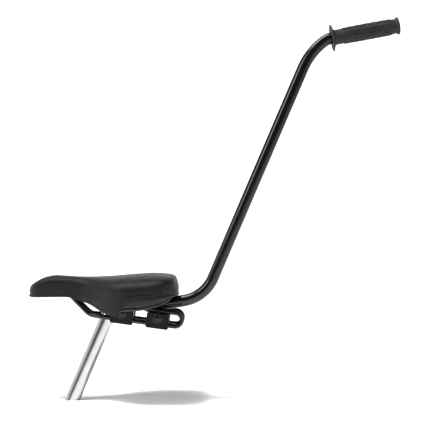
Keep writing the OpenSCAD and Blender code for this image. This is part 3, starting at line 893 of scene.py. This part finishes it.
def handle_corners():
    """Corners of the handle tube's middle line, from its free end by the clamp to its end in the grip."""
    a = math.radians(LEG_LEAN)
    leg = Vector((math.sin(a), 0, math.cos(a)))
    base = REAR_BOLT + Vector((-STUB_DIR.z, 0, STUB_DIR.x)) * (TUBE_R + BOLT_GAP)
    lower = base + STUB_DIR * STUB_LEN
    upper = lower + leg * LEG_LEN
    neck = upper + sloped(NECK_RISE) * NECK_LEN
    return [base - STUB_DIR * STUB_FRONT, lower, upper, neck, neck + sloped(END_RISE) * END_LEN]


def build_handle():
    bm = bmesh.new()
    path = rounded_path(handle_corners(), HANDLE_BENDS, 2)
    sweep(bm, path, TUBE_R, TUBE_R - TUBE_WALL, TUBE_STEPS, TUBE_EDGE)
    tube = painted(new_object("handle_tube_bent", bm, "handle"), TUBE_PAINT)
    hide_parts("handle_tube")
    sharpen(tube)


def grip_profile():
    """The grip's whole outline as (radius, distance from the flange), before its pads are raised."""
    tube, r, rim, n = TUBE_R / MM, GRIP_R, RIM_R, GRIP_LEN
    brim = FLANGE_R - 0.6 - tube
    start, end = GRIP_BODY
    points = [(tube, 0), (tube + 1, 0)]
    points += [(tube + brim * k / 10, 0.5 * math.sin(math.pi * k / 10) ** 2) for k in range(2, 11)]
    points += arc_profile(FLANGE_R - 0.9, 0.9, 0.9, -80, 60, 8)
    points += [
        (FLANGE_R - 1.2, 1.9), (r + 5.4, 2.6), (r + 3, 3.3),
        (r + 1.2, 4.2), (r + 0.2, 5.2), (r - 0.3, 6.2),
    ]
    for k in range(int((end - start) / GRIP_RING) + 1):
        s = GRIP_RING * k
        barrel = 0.45 * math.sin(math.pi * s / (n - 15)) ** 0.8
        points.append((r - 0.55 + barrel, start + s))
    points += [
        (r - 1, n - 8), (r - 1.1, n - 7), (r - 0.9, n - 6), (r - 0.2, n - 4.6),
        (rim - 0.5, n - 3), (rim, n - 2), (rim, n - 1.4), (rim - 0.5, n - 0.5),
        (rim - 1.6, n - 0.05), (rim - 3, n), (rim - 3.6, n - 0.6), (rim - 4.4, n - 1),
        (4, n - 1), (2.4, n - 0.8), (1.6, n - 0.4), (0.02, n - 0.3),
        (0.02, n - GRIP_END_T), (tube, n - GRIP_END_T),
    ]
    return [(radius * MM, along * MM) for radius, along in points]


def pad_height(s, a):
    """Raised pads in staggered rows along the grip, at distance s and angle a."""
    if not PADS_FROM < s < PADS_TO:
        return 0
    column = a / (2 * math.pi) * PAD_COLUMNS
    lane = math.floor(column)
    across = abs(column - lane - 0.5)
    along = abs(((s - PADS_FROM) / PAD_PITCH + 0.5 * (lane % 2)) % 1 - 0.5)
    wide = 1 - soft_step(0.33, 0.41, across)
    long = 1 - soft_step(0.4, 0.44, along)
    ends = soft_band(PADS_FROM, PADS_FROM + 1 * MM, PADS_TO - 1 * MM, PADS_TO, s)
    return PAD_RISE * wide * long * ends


def build_grip():
    bm = bmesh.new()
    axis = sloped(END_RISE)
    flange = handle_corners()[-1] - axis * (GRIP_LEN - GRIP_END_T) * MM
    lathe(bm, grip_profile(), flange, axis, GRIP_STEPS, pad_height)
    grip = painted(new_object("handle_grip_rubber", bm, "handle"), RUBBER)
    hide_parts("handle_grip")
    sharpen(grip, 60)


# ---------------------------------------------------------------- clamps and fasteners

def build_bolt(node, body):
    """A stud with a thread cut into each end."""
    low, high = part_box(node)
    centre = (low + high) / 2
    half = (high.y - low.y) / 2
    plain_half = half - THREAD_RUN
    bm = bmesh.new()
    steps = int(2 * half / THREAD_RING)
    rings = []
    for i in range(steps + 1):
        s = -half + 2 * half * i / steps
        ring = []
        for k in range(BOLT_STEPS):
            a = 2 * math.pi * k / BOLT_STEPS
            phase = (s / THREAD_PITCH + k / BOLT_STEPS) % 1
            tooth = abs(2 * phase - 1)
            cut = THREAD_DEPTH * tooth * soft_step(plain_half, plain_half + 1 * MM, abs(s))
            taper = max(0, abs(s) - (half - BOLT_CHAMFER))
            r = min(BOLT_R - cut, BOLT_R - taper)
            ring.append(centre + Vector((r * math.cos(a), s, r * math.sin(a))))
        rings.append(ring)
    skin_rings(bm, rings, caps=True)
    bolt = painted(new_object(node + "_threaded", bm, body), ZINC)
    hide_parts(node)
    sharpen(bolt, 50)


def finish_cad(node, mat, bevel):
    """Softens the edges of a CAD node and gives it its finish."""
    piece = painted(frame["nodes"][node], mat)
    weld = piece.modifiers.new("weld", "WELD")
    weld.merge_threshold = 2 * MERGE
    soft = piece.modifiers.new("bevel", "BEVEL")
    soft.width = bevel
    soft.segments = 3
    soft.limit_method = "ANGLE"
    soft.angle_limit = math.radians(30)
    soft.harden_normals = True
    return piece


def build_clamps():
    plates = (("_inner_plate_left", 0.4), ("_inner_plate_right", 0.4),
              ("_outer_plate_left", 0.45), ("_outer_plate_right", 0.45))
    for end in ("front", "rear"):
        build_bolt(end + "_bolt", end + "_plates")
        for node, bevel in (("_collar", 0.5), *plates):
            finish_cad(end + node, CLAMP_PAINT, bevel * MM)
        for node in ("_nuts", "_washers"):
            finish_cad(end + node, ZINC, 0.2 * MM)
    finish_cad("cover_staples", STAPLE, 0.2 * MM)


build_cover()
build_pad()
build_base()
build_rails()
build_post()
build_handle()
build_grip()
build_clamps()


# ---------------------------------------------------------------- floor, light and camera

def build_floor():
    """A pale sweep that curves up a long way behind the object."""
    bm = bmesh.new()
    sweep_arc = arc_profile(FLOOR_BACK - FLOOR_SWEEP, FLOOR_SWEEP, FLOOR_SWEEP, -90, 0, 24)
    profile = [(-FLOOR_HALF, 0)] + sweep_arc + [(FLOOR_BACK, FLOOR_HEIGHT)]
    rings = [[Vector((x, y, z)) for y, z in profile] for x in (-FLOOR_HALF, FLOOR_HALF)]
    skin_rings(bm, rings, closed_rings=False)
    mesh = bpy.data.meshes.new("studio_floor")
    for face in bm.faces:
        face.smooth = True
    bm.to_mesh(mesh)
    bm.free()
    floor = bpy.data.objects.new("studio_floor", mesh)
    bpy.context.scene.collection.objects.link(floor)
    painted(floor, floor_material())


def area_light(name, place, aim, size, power, glints=True):
    """A soft lamp. Without glints it isn't seen in shiny surfaces."""
    data = bpy.data.lights.new(name, "AREA")
    data.shape = "RECTANGLE"
    data.size, data.size_y = size
    data.energy = power
    light = bpy.data.objects.new(name, data)
    light.location = place
    light.visible_glossy = glints
    light.rotation_euler = (Vector(aim) - Vector(place)).to_track_quat("-Z", "Y").to_euler()
    bpy.context.scene.collection.objects.link(light)


def build_studio():
    world = bpy.data.worlds.new("studio")
    world.use_nodes = True
    sky = world.node_tree.nodes["Background"]
    sky.inputs["Color"].default_value = (1, 1, 1, 1)
    sky.inputs["Strength"].default_value = 0.1
    bpy.context.scene.world = world
    bpy.context.scene.view_settings.view_transform = "Standard"
    area_light("key", (-1.7, -1.0, 1.7), (0.15, 0, 0.25), (0.9, 1.2), 22)
    area_light("overhead", (-0.5, -0.25, 2.4), (0.05, 0, 0.17), (0.4, 0.4), 74, glints=False)
    area_light("softbox", (-0.45, -0.15, 2.3), (0.05, 0, 0.17), (1.1, 1.1), 32)
    area_light("side", (2.0, -0.7, 0.9), (0.2, 0, 0.25), (0.35, 1.6), 8)
    area_light("wall", (-1.3, 0.35, 0.45), (0.07, 0, 0.2), (1.9, 0.9), 5)
    area_light("backdrop", (0, 3, 3.5), (0, 5.5, 1.2), (5, 1), 260, glints=False)

    lens = bpy.data.cameras.new("camera")
    lens.lens = LENS
    lens.sensor_width = SENSOR
    camera = bpy.data.objects.new("camera", lens)
    camera.location = CAMERA_AT
    camera.rotation_euler = (math.radians(90), 0, 0)
    bpy.context.scene.collection.objects.link(camera)
    bpy.context.scene.camera = camera


build_floor()
build_studio()
